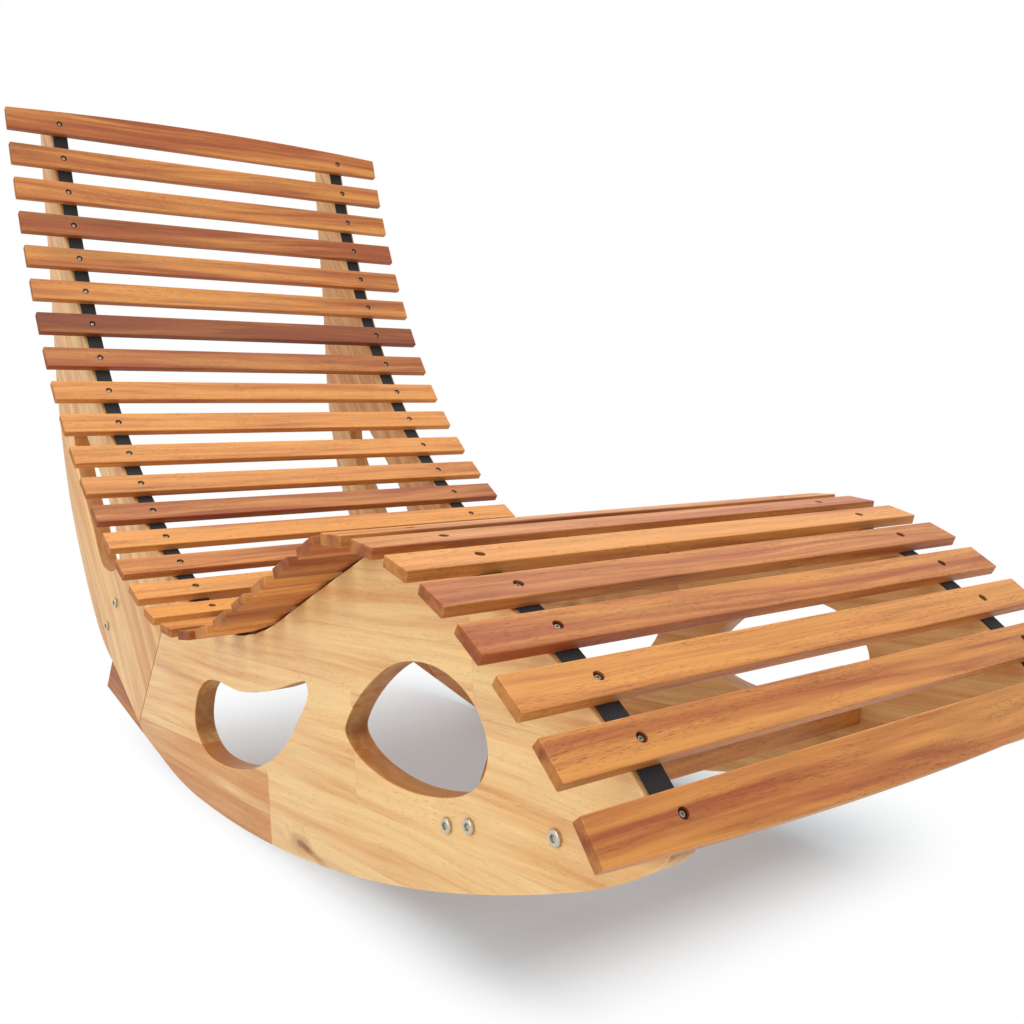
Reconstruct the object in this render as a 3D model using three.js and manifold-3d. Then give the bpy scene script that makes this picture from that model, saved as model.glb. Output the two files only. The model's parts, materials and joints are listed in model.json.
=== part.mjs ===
// Rocking chaise lounge: 33 wooden slats on two webbing straps, carried by two curved side panels that
// are also its rockers. Millimetres, +Z up, +X to the foot end, +Y to the left of the person lying on it.
// Places in the side view are measured from the middle of slat 19, before the lounge tilts to rest.

import * as THREE from "three";
import { mergeVertices } from "three/addons/utils/BufferGeometryUtils.js";
import Module from "manifold-3d";

const wasm = await Module();
wasm.setup();

// Slats
const slatCount = 33;
const slatLength = 600;
const slatWidth = 31.8;
const slatThickness = 9.8;
const slatEdge = 1.2;
const slatPitch = 52;
const headCrown = 9;
const footCrown = 10;

// The seat curve in the side view, from the head end: how many slat spaces each arc takes, how wide
// they are as a share of slatPitch, and how far the arc turns, in degrees.
const curveShares = [
  [6, 1.04, 14.5],
  [5, 1.1, 21.5],
  [4, 1.03, 15],
  [3, 1.02, 33],
  [2, 0.98, 16.5],
  [4, 0.98, -1],
  [1, 0.875, -23],
  [4, 0.93, -33],
  [1.5, 0.935, -5.5],
  [1.5, 0.98, -14],
];
const headAngle = -74.2;
const originSlatNumber = 19;

// Screw seats in the slats
const screwSeatRadius = 4.2;
const screwSeatDepth = 3;
const screwPilotRadius = 1.8;

// Straps
const strapWidth = 20;
const strapThickness = 2;

// Side panels
const panelThickness = 24;
const panelSpread = 480;
const gap = 0.3;
const overrun = 5;

// Rear edge of the arm: slat number, and distance behind the seat curve as a share of armDepth.
const armDepth = 272;
const armReach = 18;
const armShares = [
  [1, 0.205],
  [2.4, 0.29],
  [4.3, 0.396],
  [5.9, 0.535],
  [7.4, 0.69],
  [9.2, 0.855],
  [10.9, 0.955],
  [12.1, 1.005],
];

// Rockers: the lowest point, the arc ahead of it, the tighter arc at the foot end, and the arc and the
// straight ramp behind it. Turns are in degrees.
const rockerLowX = -130;
const rockerLowZ = -224.4;
const rockerRadius = 1680;
const rockerTurn = 23.8;
const footRadius = 417;
const footTurn = 10.6;
const footNose = 20;
const heelRadius = 568;
const heelTurn = 11.4;
const rampLength = 242;

// Heel blocks: wedges under the rear end of each panel
const blockBack = 50;
const blockBackAngle = 56;
const blockSeatAngle = -30;

// Glued joint between the back board and the seat board of a side panel
const boardJoint = { x: -236, z: -36, angle: 54.4 };

// Openings in a side panel: middle and size, and the outline as shares of half the size.
const crescentHole = { x: 10, z: -95, length: 294, height: 138 };
const crescentShares = [
  [-0.69, 0.29],
  [-0.94, -0.07],
  [-1, -0.62],
  [-0.82, -0.94],
  [-0.39, -0.97],
  [0.15, -0.68],
  [0.57, -0.19],
  [0.84, 0.39],
  [1, 0.87],
  [0.97, 1],
  [0.9, 0.98],
  [0.44, 0.64],
  [-0.08, 0.38],
];
const eggHole = { x: 338, z: -22, length: 216, height: 112 };
const eggShares = [
  [0.31, 1],
  [-0.18, 0.84],
  [-0.64, 0.3],
  [-0.95, -0.32],
  [-1, -0.57],
  [-0.83, -0.82],
  [-0.44, -0.98],
  [0.08, -0.95],
  [0.68, -0.64],
  [0.93, -0.27],
  [1, 0.14],
  [0.9, 0.57],
  [0.68, 0.86],
];

// The slot in the back board: slat number, and distance behind the seat curve as a share of armDepth.
const backSlotShares = [
  [8.54, 0.544],
  [9.24, 0.597],
  [10.72, 0.632],
  [11.34, 0.671],
  [11.66, 0.646],
  [12.06, 0.556],
  [12.25, 0.451],
  [11.97, 0.377],
  [11.06, 0.307],
  [10.21, 0.305],
  [9.2, 0.334],
  [8.42, 0.369],
  [8.24, 0.456],
];

// Bolts, and the nuts of the foot bolts
const boltHeadRadius = 6.3;
const boltHeadHeight = 3;
const boltHeadRound = 0.8;
const boltSocketRadius = 3;
const boltSocketDepth = 2;
const boltShankRadius = 3;
const boltReach = 40;
const nutSides = 6;
const nutAcross = 10;
const nutThickness = 5;
const boltTail = 2;
const footBolt = { x: 525, z: -52 };

// Cross rails: the middle of their two bolts, and the bolts' spacing and angle. The rear rail's middle
// is a slat number, and its distance behind the seat curve as a share of armDepth.
const rearRailShares = [12.473, 0.77];
const rearRail = { boltSpacing: 57.5, angle: 42.6 };
const rearRailWidth = 90;
const rearRailThickness = 22;
const frontRail = { x: 409, z: -81.5, boltSpacing: 31.3, angle: 16.7 };
const frontRailHeight = 59;
const frontRailUnder = 7;
const frontRailBottom = 56;
const frontRailTop = 30;
const frontRailLean = 37;

// Facets
const arcSteps = 36;
const heelSteps = 8;
const holeSteps = 44;
const edgeSteps = 24;
const roundSteps = 12;

const degree = Math.PI / 180;
const sides = { right: -1, left: 1 };
const panelInner = panelSpread / 2 - panelThickness;
const panelMiddle = (panelInner + panelSpread / 2) / 2;
const railLength = 2 * (panelInner - gap);
const strapDrop = slatThickness / 2 + gap;
const panelDrop = strapDrop + strapThickness + gap;
const paleWood = { color: 0xdcae6c, roughness: 0.45, metalness: 0 };
const slatWood = { color: 0xc9854f, roughness: 0.45, metalness: 0 };
const redWood = { color: 0xa9623a, roughness: 0.5, metalness: 0 };
const webbing = { color: 0x1c1c1e, roughness: 0.85, metalness: 0 };
const steel = { color: 0xc8c8c8, roughness: 0.3, metalness: 1 };

function vector(x, y) {
  return new THREE.Vector2(x, y);
}

function heading(slope) {
  return vector(Math.cos(slope * degree), Math.sin(slope * degree));
}

// Place and slope of the seat curve at a slat number, which may lie between two slats.
function walkCurve(slatNumber) {
  const place = vector(0, 0);
  let slope = headAngle;
  let spacesLeft = slatNumber - 1;
  for (const [spaces, pitchShare, turn] of curveShares) {
    const used = Math.min(spacesLeft, spaces);
    const bend = (turn * used) / spaces;
    const halfBend = (bend * degree) / 2;
    const run = used * slatPitch * pitchShare;
    const chord = halfBend === 0 ? run : (run * Math.sin(halfBend)) / halfBend;
    place.addScaledVector(heading(slope + bend / 2), chord);
    slope += bend;
    spacesLeft -= used;
  }
  return { place, slope };
}

const curveOrigin = walkCurve(originSlatNumber).place;

// A point beside the seat curve: along it from a slat's middle, and out from it on the upper side.
function besideCurve(slatNumber, along, out) {
  const { place, slope } = walkCurve(slatNumber);
  return place
    .sub(curveOrigin)
    .addScaledVector(heading(slope), along)
    .addScaledVector(heading(slope + 90), out);
}

function armPoint([slatNumber, depthShare]) {
  return besideCurve(slatNumber, 0, -armDepth * depthShare);
}

// The flat seats under the slats, from the foot end to the head end
function seatLine(drop) {
  const points = [];
  for (let number = slatCount; number >= 1; number -= 1) {
    points.push(besideCurve(number, slatWidth / 2, -drop));
    points.push(besideCurve(number, -slatWidth / 2, -drop));
  }
  return points;
}

function toSolid(geometry) {
  const bare = geometry.clone();
  bare.deleteAttribute("normal");
  bare.deleteAttribute("uv");
  const merged = mergeVertices(bare);
  const vertProperties = Float32Array.from(merged.attributes.position.array);
  const triVerts = Uint32Array.from(merged.index.array);
  return new wasm.Manifold(new wasm.Mesh({ numProp: 3, vertProperties, triVerts }));
}

function toGeometry(solid) {
  const { vertProperties, triVerts, numProp } = solid.getMesh();
  const geometry = new THREE.BufferGeometry();
  geometry.setAttribute("position", new THREE.BufferAttribute(vertProperties, numProp));
  geometry.setIndex(new THREE.BufferAttribute(triVerts, 1));
  geometry.computeVertexNormals();
  return geometry;
}

function cut(geometry, cutters) {
  let solid = toSolid(geometry);
  for (const cutter of cutters) solid = solid.subtract(toSolid(cutter));
  return toGeometry(solid);
}

// A side-view outline, extruded across the lounge and centred on its own middle
function acrossFrom(outline, width, holes = []) {
  const shape = new THREE.Shape(outline);
  shape.holes = holes.map((points) => new THREE.Path(points));
  const geometry = new THREE.ExtrudeGeometry(shape, { depth: width, bevelEnabled: false });
  return geometry.rotateX(Math.PI / 2).translate(0, width / 2, 0);
}

// A round piece whose axis lies across the lounge: radius and distance from the outer face, outwards
function roundAcross(profile, side) {
  const geometry = new THREE.LatheGeometry(profile, roundSteps);
  return side === sides.left ? geometry : geometry.rotateX(Math.PI);
}

function rod(radius, from, to) {
  return [vector(0, from), vector(radius, from), vector(radius, to), vector(0, to)];
}

function addPiece(parent, name, geometry, look) {
  const mesh = new THREE.Mesh(geometry, new THREE.MeshStandardMaterial(look));
  mesh.name = name;
  parent.add(mesh);
  return mesh;
}

function slatOutline(headBulge, footBulge) {
  const halfLength = slatLength / 2;
  const halfWidth = slatWidth / 2;
  const outline = new THREE.Shape();
  outline.moveTo(-halfWidth, halfLength);
  outline.quadraticCurveTo(-halfWidth - 2 * headBulge, 0, -halfWidth, -halfLength);
  outline.lineTo(halfWidth, -halfLength);
  outline.quadraticCurveTo(halfWidth + 2 * footBulge, 0, halfWidth, halfLength);
  return outline;
}

function screwSeat(side) {
  const face = slatThickness / 2;
  const profile = [
    vector(0, -face - overrun),
    vector(screwPilotRadius, -face - overrun),
    vector(screwPilotRadius, face - screwSeatDepth),
    vector(screwSeatRadius, face - screwSeatDepth),
    vector(screwSeatRadius, face + overrun),
    vector(0, face + overrun),
  ];
  const seat = new THREE.LatheGeometry(profile, roundSteps);
  return seat.rotateX(Math.PI / 2).translate(0, side * panelMiddle, 0);
}

function slatGeometry(headBulge, footBulge) {
  const geometry = new THREE.ExtrudeGeometry(slatOutline(headBulge, footBulge), {
    depth: slatThickness - 2 * slatEdge,
    bevelThickness: slatEdge,
    bevelSize: slatEdge,
    bevelOffset: -slatEdge,
    bevelSegments: 1,
    curveSegments: headBulge + footBulge > 0 ? roundSteps : 1,
  });
  geometry.translate(0, 0, slatEdge - slatThickness / 2);
  return cut(geometry, [screwSeat(sides.right), screwSeat(sides.left)]);
}

function addSlats(parent) {
  const plain = slatGeometry(0, 0);
  const special = { 1: slatGeometry(headCrown, 0), [slatCount]: slatGeometry(0, footCrown) };
  for (let number = 1; number <= slatCount; number += 1) {
    const name = "slat_" + String(number).padStart(2, "0");
    const slat = addPiece(parent, name, special[number] ?? plain, slatWood);
    const { x, y } = besideCurve(number, 0, 0);
    slat.position.set(x, 0, y);
    slat.rotation.y = -walkCurve(number).slope * degree;
  }
}

function addStraps(parent) {
  const top = seatLine(strapDrop);
  const outline = [...top, ...seatLine(strapDrop + strapThickness).reverse()];
  for (const [sideName, side] of Object.entries(sides)) {
    const strap = addPiece(parent, sideName + "_strap", acrossFrom(outline, strapWidth), webbing);
    strap.position.y = side * panelMiddle;
  }
}

// The heel of a rocker in the side view: the ramp's end, which is also the heel block's lowest corner,
// the block's other corners, and the cut that seats it.
function heelPoints() {
  const ramp = heading(180 - heelTurn);
  const arcEnd = rockerPoint(heelRadius, -heelTurn);
  const rampEnd = arcEnd.clone().addScaledVector(ramp, rampLength);
  const blockTop = rampEnd.clone().addScaledVector(heading(blockBackAngle), blockBack);
  const seat = heading(blockSeatAngle);
  const seatLength = rampEnd.clone().sub(blockTop).cross(ramp) / seat.cross(ramp);
  const blockToe = blockTop.clone().addScaledVector(seat, seatLength);
  const cutTop = blockTop.clone().addScaledVector(heading(blockSeatAngle + 90), gap);
  const cutToe = blockToe.clone().addScaledVector(ramp, -gap / Math.abs(seat.cross(ramp)));
  return { rampEnd, blockTop, blockToe, cutTop, cutToe };
}

function rockerPoint(radius, turn) {
  const low = vector(rockerLowX, rockerLowZ + radius);
  return low.addScaledVector(heading(turn - 90), radius);
}

function rockerLine() {
  const points = [];
  for (let step = 0; step < heelSteps; step += 1) {
    points.push(rockerPoint(heelRadius, heelTurn * (step / heelSteps - 1)));
  }
  for (let step = 0; step < arcSteps; step += 1) {
    points.push(rockerPoint(rockerRadius, (rockerTurn * step) / arcSteps));
  }
  const footCentre = vector(rockerLowX, rockerLowZ + rockerRadius);
  footCentre.addScaledVector(heading(rockerTurn - 90), rockerRadius - footRadius);
  for (let step = 0; step <= heelSteps; step += 1) {
    const turn = rockerTurn + (footTurn * step) / heelSteps;
    points.push(footCentre.clone().addScaledVector(heading(turn - 90), footRadius));
  }
  const nose = points.at(-1).clone().addScaledVector(heading(rockerTurn + footTurn), footNose);
  const tip = new THREE.QuadraticBezierCurve(points.at(-1), nose, seatLine(panelDrop)[0]);
  return [...points, ...tip.getPoints(heelSteps).slice(1, -1)];
}

function armRear() {
  const [[firstSlat, firstShare], ...others] = armShares;
  const top = besideCurve(firstSlat, -armReach, -armDepth * firstShare);
  const bend = [top, ...others.map(armPoint), heelPoints().cutTop];
  return new THREE.SplineCurve(bend).getPoints(edgeSteps);
}

function panelOutline() {
  const armFront = besideCurve(1, -armReach, -panelDrop);
  return [...seatLine(panelDrop), armFront, ...armRear(), heelPoints().cutToe, ...rockerLine()];
}

function openingPoints({ x, z, length, height }, shares) {
  return shares.map(([alongShare, upShare]) =>
    vector(x + (alongShare * length) / 2, z + (upShare * height) / 2),
  );
}

// A smooth closed line through the points
function smoothRing(points) {
  const stops = points.map(({ x, y }) => new THREE.Vector3(x, y, 0));
  const ring = new THREE.CatmullRomCurve3(stops, true).getPoints(holeSteps).slice(1);
  return ring.map(({ x, y }) => vector(x, y));
}

// The side-view places of the two bolts of a rail
function railBolts(middle, { boltSpacing, angle }) {
  const half = heading(angle).multiplyScalar(boltSpacing / 2);
  return { lower: middle.clone().sub(half), upper: middle.clone().add(half) };
}

function rearRailBolts() {
  return railBolts(armPoint(rearRailShares), rearRail);
}

function frontRailBolts() {
  return railBolts(vector(frontRail.x, frontRail.z), frontRail);
}

function boltPlaces() {
  const rear = rearRailBolts();
  const front = frontRailBolts();
  return {
    rear_rail_lower: rear.lower,
    rear_rail_upper: rear.upper,
    front_rail_rear: front.lower,
    front_rail_front: front.upper,
    foot: vector(footBolt.x, footBolt.z),
  };
}

// Everything on one side of the joint between the two boards: ahead of it, or behind it
function boardCutter(ahead) {
  const along = heading(boardJoint.angle);
  const away = heading(boardJoint.angle - 90 * ahead);
  const reach = slatCount * slatPitch;
  const middle = vector(boardJoint.x, boardJoint.z).addScaledVector(away, -gap / 2);
  const low = middle.clone().addScaledVector(along, -reach);
  const high = middle.clone().addScaledVector(along, reach);
  const farHigh = high.clone().addScaledVector(away, reach);
  const farLow = low.clone().addScaledVector(away, reach);
  return acrossFrom([low, high, farHigh, farLow], panelThickness + 2 * overrun);
}

function boltHole(place) {
  const ring = new THREE.Path();
  ring.absarc(place.x, place.y, boltShankRadius + gap, 0, 2 * Math.PI);
  return ring.getPoints(roundSteps).slice(1);
}

function addPanels(parent) {
  const openings = [
    smoothRing(openingPoints(crescentHole, crescentShares)),
    smoothRing(openingPoints(eggHole, eggShares)),
    smoothRing(backSlotShares.map(armPoint)),
    ...Object.values(boltPlaces()).map(boltHole),
  ];
  const panel = acrossFrom(panelOutline(), panelThickness, openings);
  const seatBoard = cut(panel, [boardCutter(-1)]);
  const backBoard = cut(panel, [boardCutter(1)]);
  for (const [sideName, side] of Object.entries(sides)) {
    addPiece(parent, sideName + "_rocker_board", seatBoard, paleWood).position.y = side * panelMiddle;
    addPiece(parent, sideName + "_back_board", backBoard, paleWood).position.y = side * panelMiddle;
  }
}

function drillRail(geometry, bolts) {
  const drills = [];
  for (const side of Object.values(sides)) {
    for (const place of Object.values(bolts)) {
      const depth = panelThickness + boltReach + gap;
      const drill = roundAcross(rod(boltShankRadius + gap, -depth, overrun), side);
      drills.push(drill.translate(place.x, (side * panelSpread) / 2, place.y));
    }
  }
  return cut(geometry, drills);
}

function addRearRail(parent) {
  const along = heading(rearRail.angle).multiplyScalar(rearRailWidth / 2);
  const up = heading(rearRail.angle + 90).multiplyScalar(rearRailThickness / 2);
  const middle = armPoint(rearRailShares);
  const outline = [
    middle.clone().sub(along).sub(up),
    middle.clone().add(along).sub(up),
    middle.clone().add(along).add(up),
    middle.clone().sub(along).add(up),
  ];
  const rail = drillRail(acrossFrom(outline, railLength), rearRailBolts());
  addPiece(parent, "rear_rail", rail, slatWood);
}

function addFrontRail(parent) {
  const along = heading(frontRail.angle);
  const up = heading(frontRail.angle + 90);
  const bottom = vector(frontRail.x, frontRail.z).addScaledVector(up, -frontRailUnder);
  const top = bottom.clone().addScaledVector(up, frontRailHeight).addScaledVector(along, frontRailLean);
  const outline = [
    bottom.clone().addScaledVector(along, -frontRailBottom / 2),
    bottom.clone().addScaledVector(along, frontRailBottom / 2),
    top.clone().addScaledVector(along, frontRailTop / 2),
    top.clone().addScaledVector(along, -frontRailTop / 2),
  ];
  const rail = drillRail(acrossFrom(outline, railLength), frontRailBolts());
  addPiece(parent, "front_rail", rail, slatWood);
}

function addHeelBlocks(parent) {
  const { rampEnd, blockToe, blockTop } = heelPoints();
  const block = acrossFrom([rampEnd, blockToe, blockTop], panelThickness);
  for (const [sideName, side] of Object.entries(sides)) {
    addPiece(parent, sideName + "_heel_block", block, redWood).position.y = side * panelMiddle;
  }
}

// Distances are from the panel's outer face; the head rests on it.
function boltProfile(tipDepth) {
  const top = gap + boltHeadHeight;
  return [
    vector(0, -tipDepth),
    vector(boltShankRadius, -tipDepth),
    vector(boltShankRadius, gap),
    vector(boltHeadRadius, gap),
    vector(boltHeadRadius, top - boltHeadRound),
    vector(boltHeadRadius - boltHeadRound, top),
    vector(boltSocketRadius, top),
    vector(boltSocketRadius, top - boltSocketDepth),
    vector(0, top - boltSocketDepth),
  ];
}

function nutGeometry() {
  const halfTurn = 180 / nutSides;
  const cornerRadius = nutAcross / 2 / Math.cos(halfTurn * degree);
  const outline = [];
  for (let corner = 0; corner < nutSides; corner += 1) {
    outline.push(heading(halfTurn * (2 * corner + 1)).multiplyScalar(cornerRadius));
  }
  return acrossFrom(outline, nutThickness, [boltHole(vector(0, 0))]);
}

function addBolts(parent) {
  const railTip = panelThickness + boltReach;
  const nutTip = panelThickness + gap + nutThickness + boltTail;
  for (const [sideName, side] of Object.entries(sides)) {
    for (const [boltName, place] of Object.entries(boltPlaces())) {
      const tipDepth = boltName === "foot" ? nutTip : railTip;
      const shape = roundAcross(boltProfile(tipDepth), side);
      const bolt = addPiece(parent, `${sideName}_${boltName}_bolt`, shape, steel);
      bolt.position.set(place.x, (side * panelSpread) / 2, place.y);
    }
    const nut = addPiece(parent, sideName + "_foot_nut", nutGeometry(), steel);
    nut.position.set(footBolt.x, side * (panelInner - gap - nutThickness / 2), footBolt.z);
  }
}

// Middle of the material of all pieces. The few steel pieces are too light to shift it.
function middleOfMaterial(group) {
  const sum = new THREE.Vector3();
  let volume = 0;
  group.updateMatrixWorld(true);
  group.traverse((mesh) => {
    if (!mesh.isMesh) return;
    const flat = mesh.geometry.index ? mesh.geometry.toNonIndexed() : mesh.geometry;
    const corners = flat.attributes.position;
    for (let i = 0; i < corners.count; i += 3) {
      const [a, b, c] = [i, i + 1, i + 2].map((corner) =>
        new THREE.Vector3().fromBufferAttribute(corners, corner).applyMatrix4(mesh.matrixWorld),
      );
      const share = a.dot(b.clone().cross(c)) / 6;
      volume += share;
      sum.addScaledVector(a.add(b).add(c), share / 4);
    }
  });
  return sum.divideScalar(volume);
}

const lounge = new THREE.Group();
addSlats(lounge);
addStraps(lounge);
addPanels(lounge);
addRearRail(lounge);
addFrontRail(lounge);
addHeelBlocks(lounge);
addBolts(lounge);

// At rest the middle of the material lies straight below the centre of the rocker's arc.
const middle = middleOfMaterial(lounge);
const restRadius = middle.x > rockerLowX ? rockerRadius : heelRadius;
lounge.rotation.y = Math.atan2(middle.x - rockerLowX, rockerLowZ + restRadius - middle.z);

// The origin is the middle of the lounge's box, on the floor.
lounge.updateMatrixWorld(true);
const box = new THREE.Box3().setFromObject(lounge, true);
lounge.position.set(-(box.min.x + box.max.x) / 2, 0, -box.min.z);

const chaise = new THREE.Group();
chaise.add(lounge);
export default chaise;
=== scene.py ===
"""The looks of a rocking chaise lounge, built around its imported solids.

Metres, +Z up, +X to the foot end, +Y to the left of the person lying on it.
"""

import json
import math

import bmesh
import bpy
from bpy.props import FloatProperty, FloatVectorProperty, IntProperty, PointerProperty
from mathutils import Matrix, Vector

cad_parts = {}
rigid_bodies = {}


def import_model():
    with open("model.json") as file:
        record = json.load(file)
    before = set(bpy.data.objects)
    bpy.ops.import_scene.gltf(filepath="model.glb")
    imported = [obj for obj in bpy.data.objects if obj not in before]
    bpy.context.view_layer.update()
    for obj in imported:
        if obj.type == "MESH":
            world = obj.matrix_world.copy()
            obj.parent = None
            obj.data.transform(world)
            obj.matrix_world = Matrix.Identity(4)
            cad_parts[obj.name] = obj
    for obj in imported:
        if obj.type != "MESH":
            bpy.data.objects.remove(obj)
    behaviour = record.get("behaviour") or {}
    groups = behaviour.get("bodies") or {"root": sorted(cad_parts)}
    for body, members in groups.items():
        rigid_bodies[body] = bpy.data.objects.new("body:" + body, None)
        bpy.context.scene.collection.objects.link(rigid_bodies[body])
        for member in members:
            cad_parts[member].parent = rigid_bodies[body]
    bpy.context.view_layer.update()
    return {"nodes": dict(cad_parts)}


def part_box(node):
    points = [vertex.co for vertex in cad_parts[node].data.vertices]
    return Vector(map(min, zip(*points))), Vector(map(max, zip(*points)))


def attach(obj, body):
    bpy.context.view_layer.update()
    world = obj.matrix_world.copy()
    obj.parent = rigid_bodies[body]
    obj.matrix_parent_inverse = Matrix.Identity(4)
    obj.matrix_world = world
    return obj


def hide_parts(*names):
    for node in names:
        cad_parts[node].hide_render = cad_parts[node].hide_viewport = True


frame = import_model()

bl_info = {
    "name": "Rocking chaise lounge",
    "version": (1, 0, 0),
    "blender": (4, 5, 0),
    "location": "3D View > Sidebar > Lounge",
    "description": "Builds an oiled wooden rocking chaise lounge with slats on webbing straps",
    "category": "Add Mesh",
}

SIDES = {"right": -1, "left": 1}
LENGTHWAYS = Vector((0, 1, 0))

# Points of a solid that are nearer than this are the same point
MERGE = 2e-6
# Edges that turn by more than this are rounded
ROUNDED_ANGLE = math.radians(40)
# Edges that turn by more degrees than this look sharp
SHARP_DEGREES = 20

# The slats: how many, and their screw seats' distance from the middle, radius and depth
SLAT_COUNT = 33
SEAT_SPREAD = 0.228
SEAT_RADIUS = 0.0042
SEAT_DEPTH = 0.003
# How far the grain is moved on from slat to slat, and from rail to rail
SLAT_GRAIN_STEP = (1.7, 0.83, 0.39)
RAIL_GRAIN_STEP = (1.9, 3.1, 0.7)
RAIL_GRAIN_START = 70

# Each slat's wood, from the head end: golden, orange, middling, reddish or dark
SLAT_WOODS = "MMOROODRGGGORGMGGORGOMGRMOMGMMGOM"
# Each wood's tone, from golden at 0 to reddish at 1, and its brightness
WOOD_TONES = {
    "G": (0.08, 1.05),
    "O": (0.4, 1.02),
    "M": (0.6, 1.05),
    "R": (0.85, 0.93),
    "D": (1.2, 0.74),
}
# Painted shade on the long narrow faces of a slat: how bright they are beside its broad faces
FLANK_PAINTED_SHADE = 0.84
# Faces narrower than this belong to a rounded edge of a slat, or of a rail or block
SLAT_EDGE_FACE = 0.001
RAIL_EDGE_FACE = 0.0016

# The boards of a side panel: the grain's direction in degrees, where the glued strips start, and the
# tone. The left panel's grain is moved on by LEFT_BOARD_SHIFT.
BOARDS = {
    "rocker_board": (4.4, (-0.2867, -0.0848, 0.0), 0.1),
    "back_board": (127.7, (0.31, 0.013, 0.0), 0.42),
}
LEFT_BOARD_SHIFT = Vector((0.9, 1.04, 0.3))
# The upper front corner of the darker strip at the heel, and the one knot, as x and z
HEEL_CORNER = (0.092, 0.0822)
KNOT_PLACE = (0.1647, 0.0333)
BOARD_MARKS = {
    "right_rocker_board": [HEEL_CORNER, KNOT_PLACE],
    "left_rocker_board": [HEEL_CORNER],
}
# A board's outline has corners where it turns by more than CORNER_TURN. Its curves get points until
# they turn by CURVE_TURN or less at each. Its flats are as long as a slat is wide, to FLAT_MATCH.
CORNER_TURN = math.radians(14)
CURVE_TURN = math.radians(2.6)
FLAT_MATCH = 0.0004
# The sine of the largest turn that is moved in as a part of a curve
NEARLY_STRAIGHT = 0.05
# How much a board's outer edge takes the painted shade, darker and redder, of its openings' walls
OUTER_WALL_SHADE = 0.4

# The rails and heel blocks: material slot, grain direction, tone and brightness
DOWN_HEEL = Vector((0.978, 0, -0.208))
RAIL_LOOKS = {
    "rear_rail": ("rail_wood", LENGTHWAYS, 0.55, 0.86),
    "front_rail": ("rail_wood", LENGTHWAYS, 0.35, 0.9),
    "right_heel_block": ("block_wood", DOWN_HEEL, 0.75, 0.92),
    "left_heel_block": ("block_wood", DOWN_HEEL, 0.6, 0.95),
}
RAIL_EDGE = 0.0012

# How far the webbing's middle lies in from the middle of a panel, and below a slat's underside
STRAP_INSET = 0.002
STRAP_DROP = 0.0013

# Bolts: radius of the shank and of its tip, length of its chamfer, and height of the head
BOLT_SHANK = 0.003
BOLT_TIP = 0.0027
BOLT_CHAMFER = 0.0004
BOLT_HEAD = 0.003
# The head's rounded rim, as steps in from its radius and down from its top
BOLT_RIM = [(0, 0.0012), (0.0003, 0.0006), (0.0008, 0.0002), (0.0014, 0)]
# The socket, as radius, height and whether it is a hexagon there
BOLT_SOCKET = [
    (0.0037, 0, False),
    (0.0034, -0.0002, True),
    (0.0033, -0.0022, True),
    (0, -0.0026, False),
]
NUT_EDGE = 0.0006
# Painted shade on the slat screws, which sit down in their seats: how bright they are beside the
# bolts
SCREW_PAINTED_SHADE = 0.55

# The photograph's camera, fitted to the ends of the slats
CAMERA_LENS = 37.97
CAMERA_PLACE = (1.09346, -0.67899, 0.44863)
CAMERA_RIGHT = (0.600125, 0.799877, -0.006798)
CAMERA_UP = (-0.071359, 0.061999, 0.995522)
CAMERA_BACK = (0.796717, -0.596953, 0.094285)

# The lights: place, target, size and power
LAMPS = {
    "top light": ((-0.3, 0.2, 3.4), (0, 0, 0.3), 3.6, 74),
    "front light": ((0.9, -3.2, 1.9), (0, 0, 0.35), 2.6, 40),
}
WORLD_LIGHT = 0.5
FLOOR_REACH = 30
# Where the shadow starts to fade into white beyond each end and side, and how fast it fades
FADE_FOOT = (0.38, 1.35)
FADE_HEAD = (-0.04, -0.42)
FADE_LEFT = (0.2, 1.0)
FADE_RIGHT = (-0.165, -2.3)
FADE_LENGTH = 0.24
LEAST_WHITE = 0.08


def from_screen(red, green, blue):
    """A screen colour from 0 to 255 as the linear colour that Blender takes."""
    shares = (value / 255 for value in (red, green, blue))
    return [s / 12.92 if s <= 0.04045 else ((s + 0.055) / 1.055) ** 2.4 for s in shares]


def length_setting(name, description, metres):
    return FloatProperty(name=name, description=description, unit="LENGTH", default=metres)


def colour_setting(name, description, *screen):
    default = from_screen(*screen)
    return FloatVectorProperty(
        name=name, description=description, subtype="COLOR", size=3, default=default
    )


class LoungeSizes(bpy.types.PropertyGroup):
    """Sizes of the visible details."""

    slat_edge: length_setting("Slat edge", "Rounding of the slats' edges", 0.0011)
    panel_edge: length_setting("Panel edge", "Rounding of the side panels' edges", 0.0016)
    screw_radius: length_setting("Screw radius", "Radius of a slat screw's head", 0.0025)
    screw_height: length_setting("Screw height", "Height of a slat screw's head", 0.0013)
    screw_socket: length_setting("Screw socket", "Radius of the hexagon in a slat screw", 0.0013)
    strap_width: length_setting("Strap width", "Width of the webbing straps", 0.02)
    strap_thickness: length_setting("Strap thickness", "Thickness of the webbing", 0.0019)
    weave_pitch: length_setting("Weave pitch", "Distance between two threads of the webbing", 0.0016)
    glue_pitch: length_setting("Strip width", "Width of the glued strips of a side panel", 0.052)
    strip_length: length_setting("Strip length", "Length of the glued strips of a side panel", 0.62)
    screw_seed: IntProperty(
        name="Screw seed", description="Seed for how far each slat screw is turned", default=4
    )


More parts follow.
